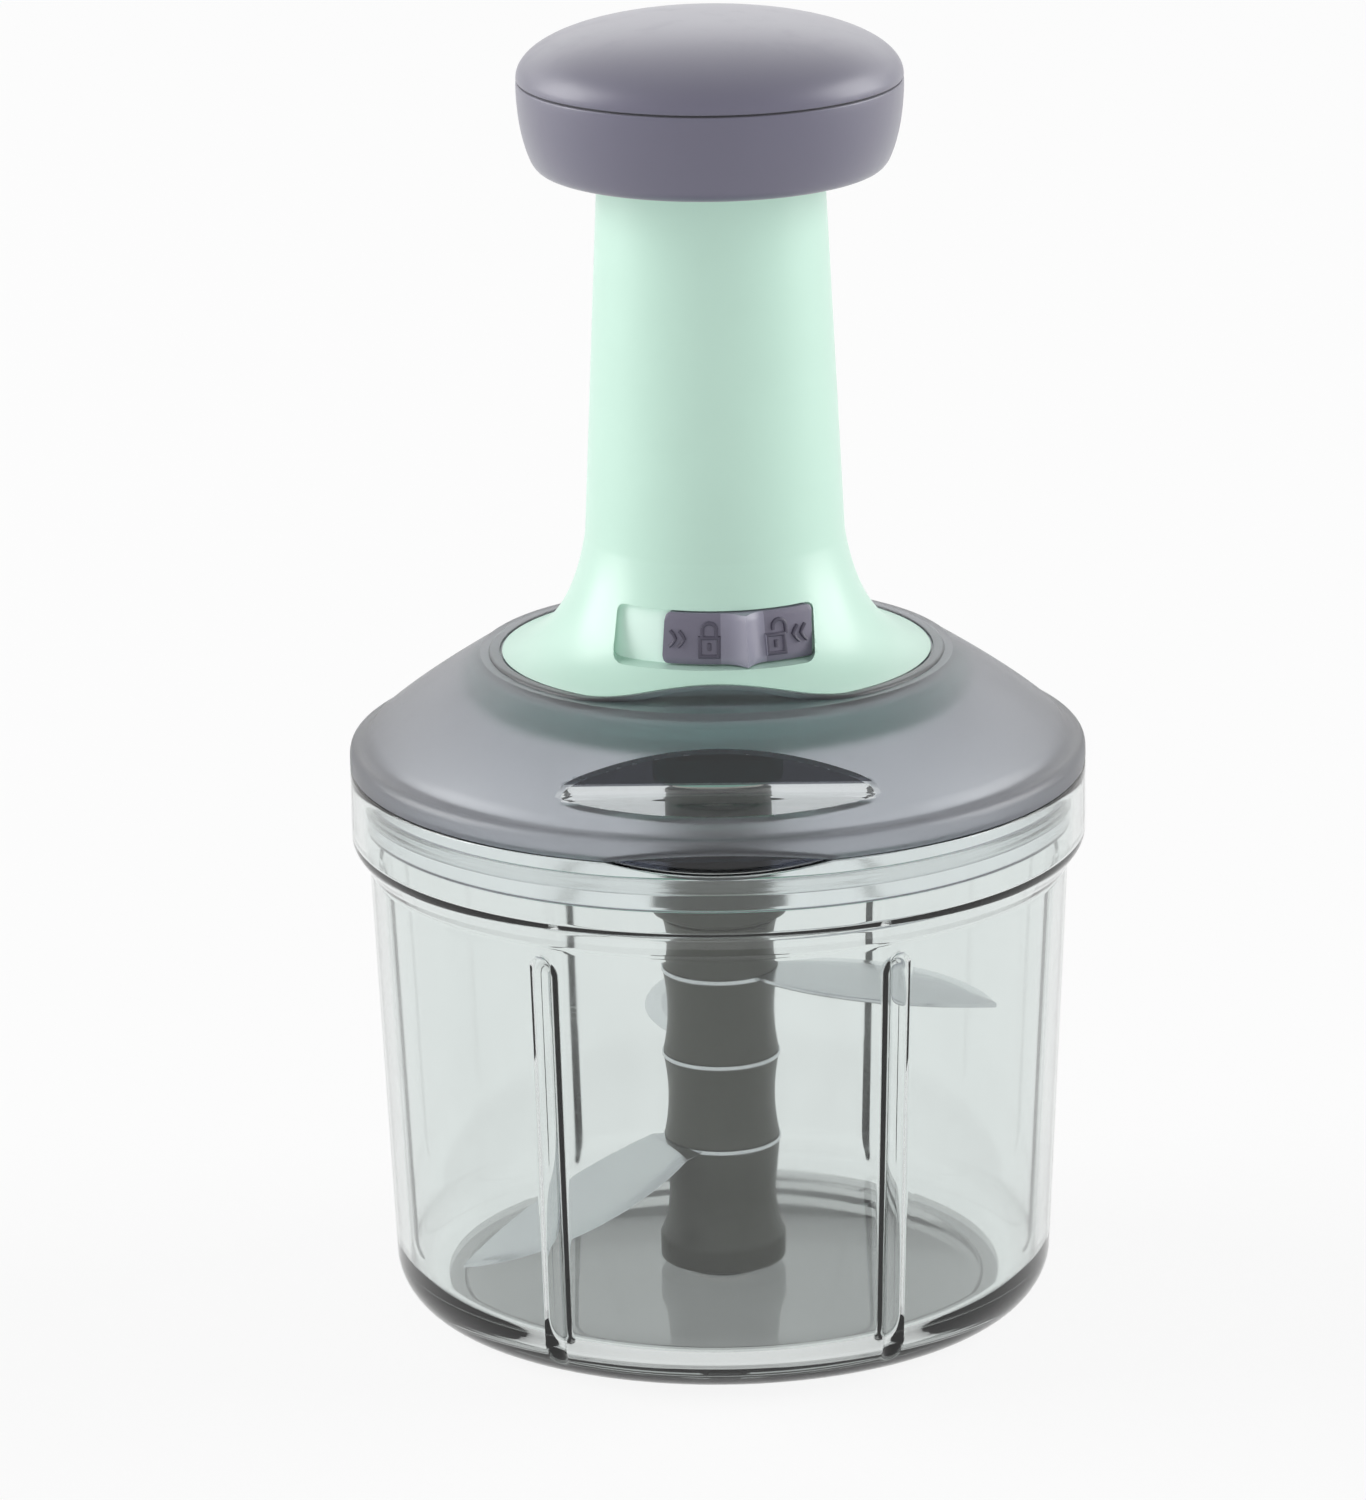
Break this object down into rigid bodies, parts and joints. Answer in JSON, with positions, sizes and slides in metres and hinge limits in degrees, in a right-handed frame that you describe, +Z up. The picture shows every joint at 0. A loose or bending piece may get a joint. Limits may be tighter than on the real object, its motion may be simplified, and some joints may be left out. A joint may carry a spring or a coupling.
{
  "type": "food chopper",
  "caption": "Hand-press food chopper: clear fluted bowl, smoke lid, flared handle housing with a press cap and lock slider, twisted drive rod and bladed shaft.",
  "frame": {"origin": "centre of the bowl's foot ring, on the table", "axes": "+Z up along the shaft and the press stroke; -Y is the front with the lock slider and the finger scoop; +X is right"},
  "size_m": [0.1404, 0.1404, 0.2508],
  "materials": {
    "clear_bowl": "clear moulded plastic",
    "smoke_lid": "translucent smoke-grey plastic",
    "mint_plastic": "satin moulded plastic",
    "grey_plastic": "satin moulded plastic",
    "dark_plastic": "satin moulded plastic",
    "pale_plastic": "bearing-grade moulded plastic",
    "silicone": "soft silicone",
    "steel": "plain steel",
    "blade_steel": "ground stainless steel",
    "bush_metal": "sintered bush metal"
  },
  "bodies": {
    "bowl_unit": {"bowl": "clear_bowl", "bowl_pin": "steel"},
    "lid_unit": {"lid": "smoke_lid", "lid_seal": "silicone", "housing": "mint_plastic", "base_plate": "mint_plastic", "housing_screws": "steel", "lower_bush": "bush_metal", "guide_sleeve": "dark_plastic", "return_spring": "steel"},
    "handle": {"cap_dome": "grey_plastic", "cap_skirt": "grey_plastic", "plunger": "grey_plastic", "cap_screws": "steel", "drive_nut": "pale_plastic", "nut_retainer": "dark_plastic"},
    "drive": {"twist_rod": "steel", "rod_clip": "steel", "clutch_driver": "pale_plastic", "drive_coupler": "pale_plastic", "coupler_screw": "steel"},
    "lock": {"lock_slider": "grey_plastic", "lock_tongue": "dark_plastic"},
    "blade_unit": {"shaft_top": "dark_plastic", "upper_spacer": "dark_plastic", "lower_spacer": "dark_plastic", "shaft_foot": "dark_plastic", "shaft_core": "steel", "shaft_nut": "steel", "shaft_bush": "bush_metal", "upper_blade": "blade_steel", "middle_blade": "blade_steel", "lower_blade": "blade_steel"}
  },
  "joints": [
    {"name": "lid_lift", "type": "slide", "parent": "bowl_unit", "child": "lid_unit", "axis": [0, 0, 1], "range_m": [0, 0.06]},
    {"name": "handle_press", "type": "slide", "parent": "lid_unit", "child": "handle", "axis": [0, 0, 1], "range_m": [0, 0.048], "deforming": ["return_spring"]},
    {"name": "rod_spin", "type": "hinge", "parent": "lid_unit", "child": "drive", "pos_m": [0, 0, 0.1], "axis": [0, 0, 1], "range_deg": [-432.5, 0.5]},
    {"name": "lock_slide", "type": "hinge", "parent": "lid_unit", "child": "lock", "pos_m": [0, 0, 0.138], "axis": [0, 0, 1], "range_deg": [-21, 0]},
    {"name": "blade_spin", "type": "hinge", "parent": "bowl_unit", "child": "blade_unit", "pos_m": [0, 0, 0.02], "axis": [0, 0, 1], "range_deg": [-432.5, 0.5]}
  ],
  "couplings": [
    {"joint": "rod_spin", "follows": "handle_press", "rad_per_m": -157.08},
    {"joint": "blade_spin", "follows": "handle_press", "rad_per_m": -157.08}
  ]
}
